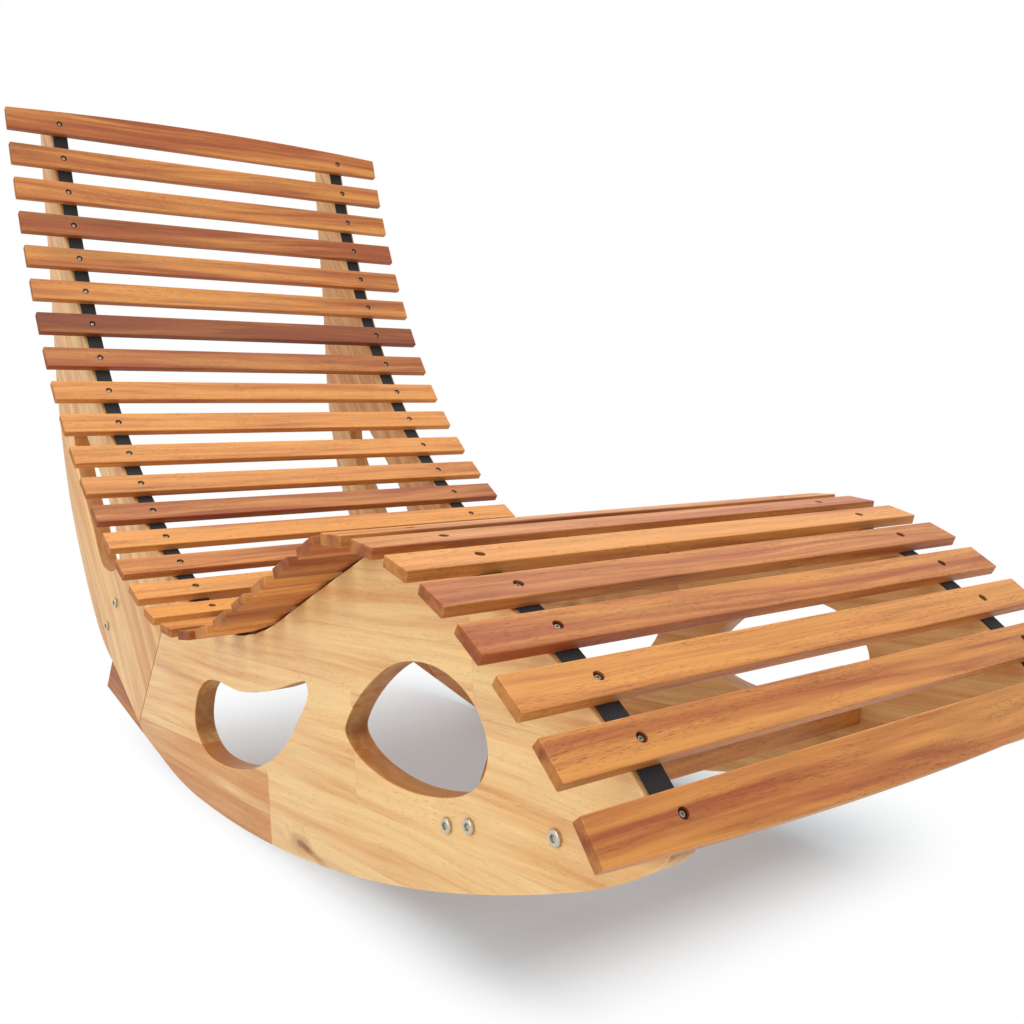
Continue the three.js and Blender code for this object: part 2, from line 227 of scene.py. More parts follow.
class LoungeColours(bpy.types.PropertyGroup):
    """Colours of the wood, webbing and metal."""

    golden: colour_setting("Golden slat", "Light slat wood", 230, 157, 80)
    reddish: colour_setting("Reddish slat", "Red-brown slat wood", 164, 85, 45)
    pale: colour_setting("Pale panel", "Light wood of the side panels", 250, 212, 148)
    warm: colour_setting("Warm panel", "Darker wood of the side panels", 212, 140, 74)
    heart: colour_setting("Dark grain", "Wood colour in pores and grain lines", 98, 50, 28)
    webbing: colour_setting("Webbing", "Colour of the straps", 38, 38, 40)
    steel: colour_setting("Steel", "Colour of screws and bolts", 210, 201, 184)


def sizes():
    return bpy.context.scene.lounge_sizes


def colours():
    return bpy.context.scene.lounge_colours


# -------------------------------- node trees


class Wire:
    """An output socket of a node tree, which takes part in sums as a number does."""

    def __init__(self, tree, socket):
        self.tree = tree
        self.socket = socket

    def maths(self, operation, *values):
        return self.tree.add("ShaderNodeMath", dict(enumerate(values)), operation=operation)

    def __add__(self, other):
        return self.maths("ADD", self, other)

    def __radd__(self, other):
        return self.maths("ADD", other, self)

    def __sub__(self, other):
        return self.maths("SUBTRACT", self, other)

    def __rsub__(self, other):
        return self.maths("SUBTRACT", other, self)

    def __mul__(self, other):
        return self.maths("MULTIPLY", self, other)

    def __rmul__(self, other):
        return self.maths("MULTIPLY", other, self)

    def __truediv__(self, other):
        return self.maths("DIVIDE", self, other)

    def floor(self):
        return self.maths("FLOOR", self)

    def abs(self):
        return self.maths("ABSOLUTE", self)

    def sine(self):
        return self.maths("SINE", self)

    def ramp(self, low, high):
        """0 below low, 1 above high, and smooth in between."""
        sockets = {0: self, 1: low, 2: high, 3: 0, 4: 1}
        return self.tree.add("ShaderNodeMapRange", sockets, interpolation_type="SMOOTHSTEP")

    def at_least(self, other):
        return self.maths("MAXIMUM", self, other)


class Tree:
    """A node tree, with one method that adds any node."""

    def __init__(self, nodes, links):
        self.nodes = nodes
        self.links = links

    def add(self, kind, sockets=None, output=0, **settings):
        node = self.nodes.new(kind)
        for name, value in settings.items():
            setattr(node, name, value)
        for key, value in (sockets or {}).items():
            for part in value if isinstance(value, list) else [value]:
                if isinstance(part, Wire):
                    self.links.new(part.socket, node.inputs[key])
                else:
                    node.inputs[key].default_value = part
        return Wire(self, node.outputs[output]) if node.outputs else None

    def beside(self, wire, output):
        """Another output of the node that the wire comes from."""
        return Wire(self, wire.socket.node.outputs[output])

    def vector(self, x=0.0, y=0.0, z=0.0):
        return self.add("ShaderNodeCombineXYZ", {0: x, 1: y, 2: z})

    def parts(self, vector):
        first = self.add("ShaderNodeSeparateXYZ", {0: vector})
        return first, self.beside(first, 1), self.beside(first, 2)


class Paint(Tree):
    """The node tree of a material."""

    def __init__(self, name):
        self.material = bpy.data.materials.new(name)
        self.material.use_nodes = True
        tree = self.material.node_tree
        tree.nodes.clear()
        super().__init__(tree.nodes, tree.links)

    def attribute(self, name, output="Fac"):
        return self.add("ShaderNodeAttribute", output=output, attribute_name=name)

    def own_place(self):
        """The x, y and z of a point in its object's frame."""
        return self.parts(self.add("ShaderNodeTexCoord", output="Object"))

    def noise(self, x, y, z, detail=2.0, roughness=0.5):
        sockets = {"Vector": self.vector(x, y, z), "Scale": 1.0, "Detail": detail}
        return self.add("ShaderNodeTexNoise", {**sockets, "Roughness": roughness})

    def cell(self, x, y):
        """A number from 0 to 1 that is the same all over each whole-numbered cell."""
        place = self.vector(x, y, 0.5)
        return self.add("ShaderNodeTexWhiteNoise", {"Vector": place}, noise_dimensions="3D")

    def mix(self, share, first, second, way="MIX"):
        def full(colour):
            return colour if isinstance(colour, Wire) else (*colour[:3], 1)

        sockets = {0: share, 6: full(first), 7: full(second)}
        return self.add("ShaderNodeMix", sockets, output=2, data_type="RGBA", blend_type=way)

    def shaded(self, colour, light):
        """The colour made lighter or darker by a number."""
        sockets = {0: colour, "Scale": light}
        return self.add("ShaderNodeVectorMath", sockets, operation="SCALE")

    def bump(self, height, distance, strength):
        sockets = {"Height": height, "Distance": distance, "Strength": strength}
        return self.add("ShaderNodeBump", sockets)

    def surface(self, gloss=0.5, **sockets):
        named = {name.replace("_", " ").title(): value for name, value in sockets.items()}
        named["Specular IOR Level"] = gloss
        shader = self.add("ShaderNodeBsdfPrincipled", named)
        self.add("ShaderNodeOutputMaterial", {0: shader})
        return self.material


# -------------------------------- materials


class Figure:
    """The figure of oiled hardwood, on the attribute that follows its grain."""

    # How fine each layer is along and across the grain, and its noise's detail and roughness
    LAYERS = {
        "drift": (2.4, 11, 1.5, 0.5),
        "broad": (2.6, 62, 3, 0.55),
        "flames": (7.0, 170, 4, 0.6),
        "fibres": (24, 900, 3, 0.6),
        "dashes": (130, 1900, 1, 0.5),
        "patches": (9, 90, 1, 0.5),
        "heart": (1.9, 44, 2, 0.5),
    }
    WANDER = 0.034
    HEART_SHIFT = 40

    def __init__(self, paint, along, across, through):
        def layer(name, sideways, shift=None):
            lengthways, fineness, detail, roughness = self.LAYERS[name]
            place = along * lengthways if shift is None else along * lengthways + shift
            return paint.noise(place, sideways * fineness, through * fineness, detail, roughness)

        bent = across + (layer("drift", across) - 0.5) * self.WANDER
        self.broad = layer("broad", bent)
        self.flames = layer("flames", bent)
        self.fibres = layer("fibres", bent)
        self.pores = layer("dashes", bent).ramp(0.58, 0.7) * layer("patches", bent).ramp(0.36, 0.6)
        self.heart = layer("heart", bent, self.HEART_SHIFT)


def edge_highlighted(paint, colour, highlight=0.16):
    """The colour with a painted highlight on its rounded edges."""
    return paint.shaded(colour, 1 + paint.attribute("edge") * highlight)


def end_grain(paint, colour, cut):
    """The colour made darker where the surface cuts across the grain."""
    return paint.mix(cut.abs().ramp(0.6, 0.95) * 0.4, colour, colours().heart)


def end_cut(paint, grain_line):
    """How nearly the surface cuts straight across the grain, from 0 to 1."""
    facing = paint.add("ShaderNodeNewGeometry", output="True Normal")
    sockets = {0: facing, 1: grain_line}
    return paint.add("ShaderNodeVectorMath", sockets, output="Value", operation="DOT_PRODUCT")


def slat_wood(name, grain_line):
    """Oiled hardwood for slats and rails, golden to reddish brown by the attribute tone."""
    paint = Paint(name)
    grain = paint.attribute("grain", "Vector")
    figure = Figure(paint, *paint.parts(grain))
    own_tone = paint.attribute("tone")
    tone = own_tone + (figure.broad - 0.5) * 3.4 + (figure.flames - 0.5) * 1.1
    colour = paint.mix(tone.ramp(-0.3, 1.3), colours().golden, colours().reddish)
    dark = figure.heart.ramp(0.5, 0.78) * (0.22 + own_tone * 0.4)
    colour = paint.mix(dark, colour, colours().heart)
    colour = paint.mix(figure.flames.ramp(0.52, 0.8) * 0.28, colour, colours().heart)
    light = 1.04 + (figure.broad - 0.5) * 0.35 - (figure.fibres - 0.5) * 0.42
    colour = paint.shaded(colour, paint.attribute("shade") * light)
    colour = paint.mix(figure.pores * 0.5, colour, colours().heart)
    # Painted shade in the screw seats, darkening them to almost black-brown, with some real darkening
    # of their end grain
    colour = paint.mix(paint.attribute("seat") * 0.8, colour, from_screen(52, 28, 18))
    cut = end_cut(paint, grain_line)
    # Painted highlight on the rounded edges, and darker end grain
    colour = end_grain(paint, edge_highlighted(paint, colour), cut)
    height = figure.fibres * 0.7 + figure.flames * 0.3 - figure.pores * 0.9
    return paint.surface(
        base_color=colour,
        roughness=0.44 + (figure.fibres - 0.5) * 0.16 + figure.pores * 0.14 + cut.abs() * 0.25,
        normal=paint.bump(height, 0.00035, 0.35),
        gloss=0.32,
    )


def panel_wood(name, grain_line, base_tone, heel=None, knot=None):
    """Edge-glued strips of pale hardwood. The strips lie one above the other across the grain.

    The heel is the corner of a darker strip, and the knot a place, both along and across the grain.
    """
    paint = Paint(name)
    along, across, through = paint.parts(paint.attribute("grain", "Vector"))
    strip = (across / sizes().glue_pitch).floor()
    stagger = (strip / 2).floor() * 0.19
    board = ((along - stagger) / sizes().strip_length).floor()
    pick = paint.cell(strip, board)
    second = paint.cell(strip + 31, board + 7)
    knotted = across
    if knot:
        behind, above = along - knot[0], across - knot[1]
        from_knot = behind * behind * 0.16 + above * above
        near = 1 - from_knot.ramp(0.0, 0.0004)
        knotted = across + near * 0.011
    figure = Figure(paint, along + pick * 9, knotted + second * 5, through + pick * 3)
    # The walls of the openings, and less so the outer edge, get painted shade: redder and darker
    wall = paint.attribute("wall")
    tone = base_tone + pick * 0.38 + (figure.broad - 0.5) * 2.6 + (figure.flames - 0.5) * 0.9
    tone = tone + wall * 0.45
    if heel:
        low = 1 - (across - heel[1]).ramp(-0.0004, 0.0004)
        rear = 1 - (along - heel[0]).ramp(-0.0004, 0.0004)
        tone = tone + low * (rear * 0.82 - 0.12)
    colour = paint.mix(tone.ramp(-0.3, 1.4), colours().pale, colours().warm)
    colour = paint.mix(figure.flames.ramp(0.54, 0.84) * 0.26, colour, colours().warm)
    colour = paint.mix(figure.heart.ramp(0.56, 0.8) * 0.3, colour, colours().reddish)
    light = 0.97 + second * 0.07 + (figure.broad - 0.5) * 0.16 - (figure.fibres - 0.5) * 0.26
    colour = paint.shaded(colour, light - wall * 0.2)
    colour = paint.mix(figure.pores * 0.24, colour, colours().heart)
    seam_place = (across / sizes().glue_pitch - strip - 0.5).abs()
    butt_place = ((along - stagger) / sizes().strip_length - board - 0.5).abs()
    seams = seam_place.ramp(0.491, 0.4985) + butt_place.ramp(0.4991, 0.4998)
    colour = paint.mix(seams * 0.09, colour, colours().heart)
    if knot:
        eye = from_knot.ramp(0.000003, 0.000022)
        halo = from_knot.ramp(0.0, 0.00016)
        tail = behind.ramp(0.0, 0.012) * (1 - behind.ramp(0.03, 0.07))
        streak = tail * (1 - (above + behind * 0.16).abs().ramp(0.0008, 0.006))
        colour = paint.mix((1 - halo) * 0.45 + streak * 0.6, colour, colours().reddish)
        colour = paint.mix((1 - eye) * 0.6, colour, colours().heart)
    # A weaker painted highlight on the rounded edges, and darker end grain
    colour = end_grain(paint, edge_highlighted(paint, colour, 0.08), end_cut(paint, grain_line))
    height = figure.fibres * 0.6 + figure.flames * 0.4 - figure.pores * 0.8 - seams * 0.5
    return paint.surface(
        base_color=colour,
        roughness=0.42 + (figure.fibres - 0.5) * 0.14 + figure.pores * 0.12,
        normal=paint.bump(height, 0.0003, 0.3),
        gloss=0.32,
    )


def woven_webbing(name):
    """Black polyester webbing: herringbone ribs along the strap, on its own attribute."""
    paint = Paint(name)
    along, across, _ = paint.parts(paint.attribute("weave", "Vector"))
    pitch = sizes().weave_pitch
    rib = (across / pitch * math.tau).sine()
    lean = (across / (4 * pitch)).sine()
    thread = ((along / pitch + rib * 0.3 + lean * 0.8) * math.tau).sine()
    height = rib * 0.5 + thread * 0.5
    fuzz = paint.noise(along * 2600, across * 2600, 0.3, 2)
    # The weave's raised threads are painted lighter and its grooves darker, as painted shade; the
    # fuzz varies it at random
    light = 0.85 + height * 0.22 + (fuzz - 0.5) * 0.5
    colour = paint.mix(fuzz.ramp(0.55, 0.8) * 0.35, colours().webbing, from_screen(74, 74, 76))
    colour = paint.shaded(colour, light)
    return paint.surface(
        base_color=colour,
        roughness=0.78 + (fuzz - 0.5) * 0.2,
        normal=paint.bump(height + fuzz * 0.4, 0.0003, 0.6),
    )


def plated_steel(name, brightness=1.0):
    """Zinc plating with fine turning marks and a dull bloom."""
    paint = Paint(name)
    x, y, z = paint.own_place()
    bloom = paint.noise(x * 420, y * 420, z * 420, 3)
    marks = paint.noise(x * 3100, y * 800, z * 3100, 2)
    colour = paint.mix(bloom.ramp(0.35, 0.75) * 0.35, colours().steel, from_screen(150, 146, 138))
    # A brightness below 1 is painted shade, for the screws down in the slats' seats
    colour = paint.shaded(colour, (0.94 + (marks - 0.5) * 0.16) * brightness)
    return paint.surface(
        base_color=colour,
        metallic=1.0,
        roughness=0.26 + bloom * 0.16,
        normal=paint.bump(marks, 0.0001, 0.15),
    )


def seen_rays(tree):
    """1 for rays that look at the background, straight, in a reflection or through glass."""
    rays = tree.add("ShaderNodeLightPath", output="Is Camera Ray")
    return rays + tree.beside(rays, "Is Glossy Ray") + tree.beside(rays, "Is Transmission Ray")


def stage_floor(name):
    """Pale floor: white to the camera but for the shadow of the lounge, which fades out around it."""
    paint = Paint(name)
    x, y, _ = paint.own_place()

    def past(place, low, high):
        ways = [(place - start) * pace for start, pace in (low, high)]
        return ways[0].at_least(ways[1]).at_least(0.0)

    ahead, aside = past(x, FADE_FOOT, FADE_HEAD), past(y, FADE_LEFT, FADE_RIGHT)
    away = x.maths("SQRT", ahead * ahead + aside * aside)
    whiteness = LEAST_WHITE + away.ramp(0.0, FADE_LENGTH) * (1 - LEAST_WHITE)
    matt = paint.add("ShaderNodeBsdfDiffuse", {"Color": (0.86, 0.86, 0.86, 1)})
    # Near the lounge the floor is painted a cool blue-grey, which cancels the warm light bounced off
    # the wood into its shadow
    shadowed = paint.add("ShaderNodeBsdfDiffuse", {"Color": (0.74, 0.88, 0.97, 1)})
    white = paint.add("ShaderNodeEmission", {"Color": (1, 1, 1, 1), "Strength": 1.0})
    both = paint.add("ShaderNodeMixShader", {0: whiteness, 1: shadowed, 2: white})
    chosen = paint.add("ShaderNodeMixShader", {0: seen_rays(paint), 1: matt, 2: both})
    paint.add("ShaderNodeOutputMaterial", {0: chosen})
    return paint.material


def material(name, make, *extra):
    """The material of that name, made at its first use."""
    return bpy.data.materials.get(name) or make(name, *extra)


# -------------------------------- meshes


def smoothed(mesh, degrees=SHARP_DEGREES):
    """The mesh shaded smooth, apart from edges that turn by more than the degrees."""
    mesh.shade_smooth()
    mesh.set_sharp_from_angle(angle=math.radians(degrees))
    return mesh


def new_mesh(name, source):
    """A mesh from a bmesh, which is freed."""
    mesh = bpy.data.meshes.new(name)
    source.to_mesh(mesh)
    source.free()
    return mesh


def placed(name, data):
    """A new object in the scene."""
    thing = bpy.data.objects.new(name, data)
    bpy.context.scene.collection.objects.link(thing)
    return thing


def show(name, mesh, finish, slot, *nodes):
    """Shows the mesh as a piece that stands for the nodes."""
    piece = placed(name, mesh)
    mesh.materials.clear()
    mesh.materials.append(finish)
    if nodes:
        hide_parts(*nodes)
    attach(piece, "root")


def bake_down(carrier):
    """The mesh of an object with its modifiers worked in. The object goes."""
    bpy.context.view_layer.update()
    worked = carrier.evaluated_get(bpy.context.evaluated_depsgraph_get())
    mesh = bpy.data.meshes.new_from_object(worked)
    carrier.modifiers.clear()
    bpy.data.objects.remove(carrier)
    return mesh


def round_edges(carrier, width):
    rounding = carrier.modifiers.new("Edges", "BEVEL")
    rounding.width = width
    rounding.segments = 2
    rounding.limit_method = "ANGLE"
    rounding.angle_limit = ROUNDED_ANGLE


def merged_copy(node):
    """A node's mesh as a bmesh whose loose triangles are joined."""
    copy = bmesh.new()
    copy.from_mesh(frame["nodes"][node].data)
    bmesh.ops.remove_doubles(copy, verts=copy.verts, dist=MERGE)
    copy.normal_update()
    return copy


def set_numbers(mesh, name, numbers):
    layer = mesh.attributes.new(name, "FLOAT", "POINT")
    layer.data.foreach_set("value", numbers)


def set_tone(mesh, tone, shades):
    """Gives the points the tone of their wood, and their brightness."""
    set_numbers(mesh, "tone", [tone] * len(mesh.vertices))
    set_numbers(mesh, "shade", shades)


def set_vectors(mesh, name, vectors):
    layer = mesh.attributes.new(name, "FLOAT_VECTOR", "POINT")
    layer.data.foreach_set("vector", [part for vector in vectors for part in vector])


def set_grain(mesh, along, across, through, start):
    """Gives each point its place along, across and through the grain."""
    places = [
        (v.co.dot(along) + start[0], v.co.dot(across) + start[1], v.co.dot(through) + start[2])
        for v in mesh.vertices
    ]
    set_vectors(mesh, "grain", places)


def set_edges(mesh, width):
    """Marks the points that lie only on faces narrower than the width."""
    narrow = [True] * len(mesh.vertices)
    for face in mesh.polygons:
        corners = [mesh.vertices[i].co for i in face.vertices]
        longest = max((a - b).length for a, b in zip(corners, corners[1:] + corners[:1]))
        if face.area / longest > width:
            for i in face.vertices:
                narrow[i] = False
    set_numbers(mesh, "edge", [float(mark) for mark in narrow])


# -------------------------------- geometry nodes


class Shape(Tree):
    """A Geometry Nodes tree with named inputs, and the modifier that runs it."""

    def __init__(self, name, inputs):
        self.group = bpy.data.node_groups.new(name, "GeometryNodeTree")
        face = self.group.interface
        face.new_socket(name="Geometry", in_out="INPUT", socket_type="NodeSocketGeometry")
        face.new_socket(name="Geometry", in_out="OUTPUT", socket_type="NodeSocketGeometry")
        self.ids = {}
        for label, value in inputs.items():
            kind = "NodeSocketInt" if isinstance(value, int) else "NodeSocketFloat"
            socket = face.new_socket(name=label, in_out="INPUT", socket_type=kind)
            socket.default_value = value
            self.ids[label] = socket.identifier
        super().__init__(self.group.nodes, self.group.links)
        self.start = self.nodes.new("NodeGroupInput")
        self.end = self.nodes.new("NodeGroupOutput")
        self.geometry = self.input("Geometry")

    def input(self, label):
        return Wire(self, self.start.outputs[label])

    def finish(self, geometry, finish):
        real = self.add("GeometryNodeRealizeInstances", {0: geometry})
        done = self.add("GeometryNodeSetMaterial", {"Geometry": real, "Material": finish})
        self.links.new(done.socket, self.end.inputs[0])

    def named(self, name, kind="FLOAT"):
        return self.add("GeometryNodeInputNamedAttribute", {"Name": name}, data_type=kind)

    def store(self, geometry, name, value, kind="FLOAT"):
        sockets = {"Geometry": geometry, "Name": name, "Value": value}
        return self.add("GeometryNodeStoreNamedAttribute", sockets, data_type=kind)

    def cut(self, solid, tools):
        sockets = {"Mesh 1": solid, "Mesh 2": tools}
        return self.add("GeometryNodeMeshBoolean", sockets, operation="DIFFERENCE", solver="EXACT")

    def run_on(self, carrier, values=None):
        modifier = carrier.modifiers.new(self.group.name, "NODES")
        modifier.node_group = self.group
        for label, value in (values or {}).items():
            modifier[self.ids[label]] = value


def slat_tree(length, width, thickness):
    """A slat along Y, whose long edges may be bowed outwards in the middle."""
    sides = {"Length": length, "Width": width, "Thickness": thickness}
    shape = Shape("Slat", {**sides, "Head bow": 0.0, "Foot bow": 0.0})
    size = shape.vector(shape.input("Width"), shape.input("Length"), shape.input("Thickness"))
    counts = {"Vertices X": 2, "Vertices Y": 41, "Vertices Z": 2}
    block = shape.add("GeometryNodeMeshCube", {"Size": size, **counts})
    x, y, _ = shape.parts(shape.add("GeometryNodeInputPosition"))
    share = y / (shape.input("Length") * 0.5)
    swell = 1 - share * share
    ahead = x.maths("GREATER_THAN", x, 0)
    push = ahead * shape.input("Foot bow") - (1 - ahead) * shape.input("Head bow")
    offset = shape.vector(push * swell)
    bowed = shape.add("GeometryNodeSetPosition", {"Geometry": block, "Offset": offset})
    shape.finish(bowed, None)
    return shape


def seat_tree(spread, radius, depth, thickness):
    """Cuts the two screw seats into the top of a slat."""
    inputs = {"Spread": spread, "Radius": radius, "Depth": depth, "Thickness": thickness}
    shape = Shape("Screw seats", inputs)
    drill = shape.add(
        "GeometryNodeMeshCylinder",
        {"Vertices": 24, "Radius": shape.input("Radius"), "Depth": shape.input("Depth") * 2},
    )
    top = shape.input("Thickness") * 0.5
    drills = []
    for side in SIDES.values():
        place = shape.vector(0.0, shape.input("Spread") * side, top)
        drills.append(shape.add("GeometryNodeTransform", {"Geometry": drill, "Translation": place}))
    shape.finish(shape.cut(shape.geometry, drills), None)
    return shape


def screw_tree(finish):
    """A screw head with a hexagon socket on each point, facing out of the slat."""
    size = sizes()
    inputs = {
        "Radius": size.screw_radius,
        "Height": size.screw_height,
        "Socket": size.screw_socket,
        "Seed": size.screw_seed,
    }
    shape = Shape("Slat screws", inputs)
    radius, height = shape.input("Radius"), shape.input("Height")
    head = shape.add(
        "GeometryNodeMeshCone",
        {"Vertices": 20, "Radius Top": radius * 0.8, "Radius Bottom": radius, "Depth": height},
    )
    socket = shape.add(
        "GeometryNodeMeshCylinder",
        {"Vertices": 6, "Radius": shape.input("Socket"), "Depth": height * 1.6},
    )
    lift = shape.vector(0.0, 0.0, height * 1.1)
    raised = shape.add("GeometryNodeTransform", {"Geometry": socket, "Translation": lift})
    screw = shape.cut(head, raised)
    facing = shape.named("facing", "FLOAT_VECTOR")
    upright = shape.add("FunctionNodeAlignRotationToVector", {"Vector": facing}, axis="Z")
    turn = shape.add(
        "FunctionNodeRandomValue",
        {"Min": 0.0, "Max": math.tau, "Seed": shape.input("Seed")},
        output="Value",
        data_type="FLOAT",
    )
    roll = shape.add("FunctionNodeEulerToRotation", {0: shape.vector(0.0, 0.0, turn)})
    turned = shape.add("FunctionNodeRotateRotation", {0: upright, 1: roll}, rotation_space="LOCAL")
    screws = shape.add(
        "GeometryNodeInstanceOnPoints",
        {"Points": shape.geometry, "Instance": screw, "Rotation": turned},
    )
    shape.finish(screws, finish)
    return shape


def strap_tree(finish):
    """Webbing swept along the line it is given, with its weave's places kept on it."""
    size = sizes()
    shape = Shape("Strap", {"Width": size.strap_width, "Thickness": size.strap_thickness})
    line = shape.add("GeometryNodeMeshToCurve", {0: shape.geometry})
    upright = shape.add("GeometryNodeSetCurveNormal", {0: line}, mode="Z_UP")
    length = shape.add("GeometryNodeSplineParameter", output="Length")
    kept = shape.store(upright, "along", length)
    band = shape.add(
        "GeometryNodeCurvePrimitiveQuadrilateral",
        {"Width": shape.input("Width"), "Height": shape.input("Thickness")},
    )
    soft = shape.add(
        "GeometryNodeFilletCurve",
        {"Curve": band, "Radius": shape.input("Thickness") * 0.4, "Count": 3},
        mode="POLY",
    )
    sideways, _, _ = shape.parts(shape.add("GeometryNodeInputPosition"))
    profile = shape.store(soft, "across", sideways)
    swept = shape.add(
        "GeometryNodeCurveToMesh",
        {"Curve": kept, "Profile Curve": profile, "Fill Caps": True},
    )
    weave = shape.vector(shape.named("along"), shape.named("across"))
    shape.finish(shape.store(swept, "weave", weave, "FLOAT_VECTOR"), finish)
    return shape


# -------------------------------- slats


def slat_frame(node):
    """A slat's own frame, its length, width and thickness, and how far its long edges are bowed."""
    solid = merged_copy(node)
    upper = [face for face in solid.faces if face.normal.z > 0 and abs(face.normal.y) < 0.1]
    out = max(upper, key=lambda face: face.calc_area()).normal.copy()
    out.y = 0
    out.normalize()
    across = LENGTHWAYS.cross(out)
    length = max(v.co.y for v in solid.verts) * 2
    ends = [v.co for v in solid.verts if abs(v.co.y) > 0.49 * length]
    widths = [p.dot(across) for p in ends]
    heights = [p.dot(out) for p in ends]
    middle = across * (max(widths) + min(widths)) / 2 + out * (max(heights) + min(heights)) / 2
    bows = [v.co.dot(across) for v in solid.verts]
    bow = (min(widths) - min(bows), max(bows) - max(widths))
    solid.free()
    place = Matrix((across, LENGTHWAYS, out)).transposed().to_4x4()
    place.translation = middle
    return place, length, max(widths) - min(widths), max(heights) - min(heights), bow


def slat_places():
    return {n: slat_frame(f"slat_{n:02d}") for n in range(1, SLAT_COUNT + 1)}


def in_seat(point, thickness):
    """Whether a point of a slat, in the slat's own frame, lies down in a screw seat."""
    away = math.hypot(point.x, abs(point.y) - SEAT_SPREAD)
    return away < SEAT_RADIUS + 0.0004 and abs(point.z) < thickness / 2 - 0.0005


def on_flank(point, length, thickness, rounding):
    """Whether a point of a slat, in the slat's own frame, is on one of its long narrow faces."""
    inside = 0.9 * rounding
    return abs(point.z) < thickness / 2 - inside and abs(point.y) < length / 2 - inside


class LOUNGE_OT_slats(bpy.types.Operator):
    """Make the 33 slats, rounded at their edges and with two screw seats each"""

    bl_idname = "lounge.slats"
    bl_label = "Slats"

    def execute(self, context):
        size = sizes()
        finish = material("Oiled slat wood", slat_wood, LENGTHWAYS)
        places = slat_places()
        _, length, width, thickness, _ = places[2]
        slat = slat_tree(length, width, thickness)
        seats = seat_tree(SEAT_SPREAD, SEAT_RADIUS, SEAT_DEPTH, thickness)
        for number, (place, _, _, _, bow) in places.items():
            carrier = placed("slat blank", bpy.data.meshes.new("slat blank"))
            slat.run_on(carrier, {"Head bow": bow[0], "Foot bow": bow[1]})
            round_edges(carrier, size.slat_edge)
            seats.run_on(carrier)
            mesh = bake_down(carrier)
            set_edges(mesh, SLAT_EDGE_FACE)
            # The points down in a screw seat take its painted shade
            set_numbers(mesh, "seat", [float(in_seat(v.co, thickness)) for v in mesh.vertices])
            start = [number * step for step in SLAT_GRAIN_STEP]
            set_grain(mesh, LENGTHWAYS, Vector((1, 0, 0)), Vector((0, 0, 1)), start)
            tone, shade = WOOD_TONES[SLAT_WOODS[number - 1]]
            # The long narrow faces get painted shade, darker than the broad faces
            flanks = [on_flank(v.co, length, thickness, size.slat_edge) for v in mesh.vertices]
            set_tone(mesh, tone, [shade * (FLANK_PAINTED_SHADE if flank else 1.0) for flank in flanks])
            mesh.transform(place)
            node = f"slat_{number:02d}"
            show(f"oiled_{node}", smoothed(mesh), finish, "slat_wood", node)
        return {"FINISHED"}


# -------------------------------- side panels


def outline_loops(solid, side):
    """The closed lines round the outer face of a board, as points (x, z). The outer line is first."""
    flat = {f for f in solid.faces if f.normal.y * side > 0.99}
    beside = {}
    for edge in solid.edges:
        if sum(f in flat for f in edge.link_faces) == 1:
            a, b = edge.verts
            beside.setdefault(a, []).append(b)
            beside.setdefault(b, []).append(a)
    loops = []
    while beside:
        first = next(iter(beside))
        loop, here = [first], beside[first][0]
        before = first
        while here is not first:
            loop.append(here)
            before, here = here, next(v for v in beside[here] if v is not before)
        for vert in loop:
            del beside[vert]
        loops.append([Vector((v.co.x, v.co.z)) for v in loop])

    def area(loop):
        return sum(a.cross(b) for a, b in zip(loop, loop[1:] + loop[:1])) / 2

    loops.sort(key=lambda loop: -abs(area(loop)))
    for index, loop in enumerate(loops):
        if (area(loop) > 0) != (index == 0):
            loop.reverse()
    return loops


def turn_at(loop, i):
    a, b = loop[i] - loop[i - 1], loop[(i + 1) % len(loop)] - loop[i]
    return abs(math.atan2(a.cross(b), a.dot(b)))


def finer_loop(loop, is_outer, slat_width):
    """The loop with points added where it curves. Its corners and the flats under slats stay."""
    count = len(loop)
    corner = [is_outer and turn_at(loop, i) > CORNER_TURN for i in range(count)]
    if is_outer:
        for i in range(count):
            if abs((loop[(i + 1) % count] - loop[i]).length - slat_width) < FLAT_MATCH:
                corner[i] = corner[(i + 1) % count] = True
    points = []
    for i in range(count):
        j = (i + 1) % count
        a, b = loop[i], loop[j]
        before = 2 * a - b if corner[i] else loop[i - 1]
        after = 2 * b - a if corner[j] else loop[(j + 1) % count]
        turns = [turn_at(loop, k) for k in (i, j) if not corner[k]]
        steps = max(1, math.ceil(max(turns, default=0) / CURVE_TURN))
        for step in range(steps):
            t = step / steps
            points.append(
                0.5
                * (
                    2 * a
                    + (b - before) * t
                    + (2 * before - 5 * a + 4 * b - after) * t * t
                    + (3 * a - before - 3 * b + after) * t * t * t
                )
            )
    return points


def inset(loop, distance, joint):
    """The loop moved in by the distance, apart from its side that is the glued joint."""
    moved = []
    count = len(loop)
    for i in range(count):
        before, here, after = loop[i - 1], loop[i], loop[(i + 1) % count]
        first, second = (here - before).normalized(), (after - here).normalized()
        one, two = Vector((-first.y, first.x)), Vector((-second.y, second.x))
        step_one = 0 if joint == (i - 1) % count else distance
        step_two = 0 if joint == i else distance
        spread = one.cross(two)
        if abs(spread) < NEARLY_STRAIGHT:
            moved.append(here + (one + two) * (distance / (1 + one.dot(two))))
        else:
            shift = Vector((step_one * two.y - step_two * one.y, step_two * one.x - step_one * two.x))
            moved.append(here + shift / spread)
    return moved


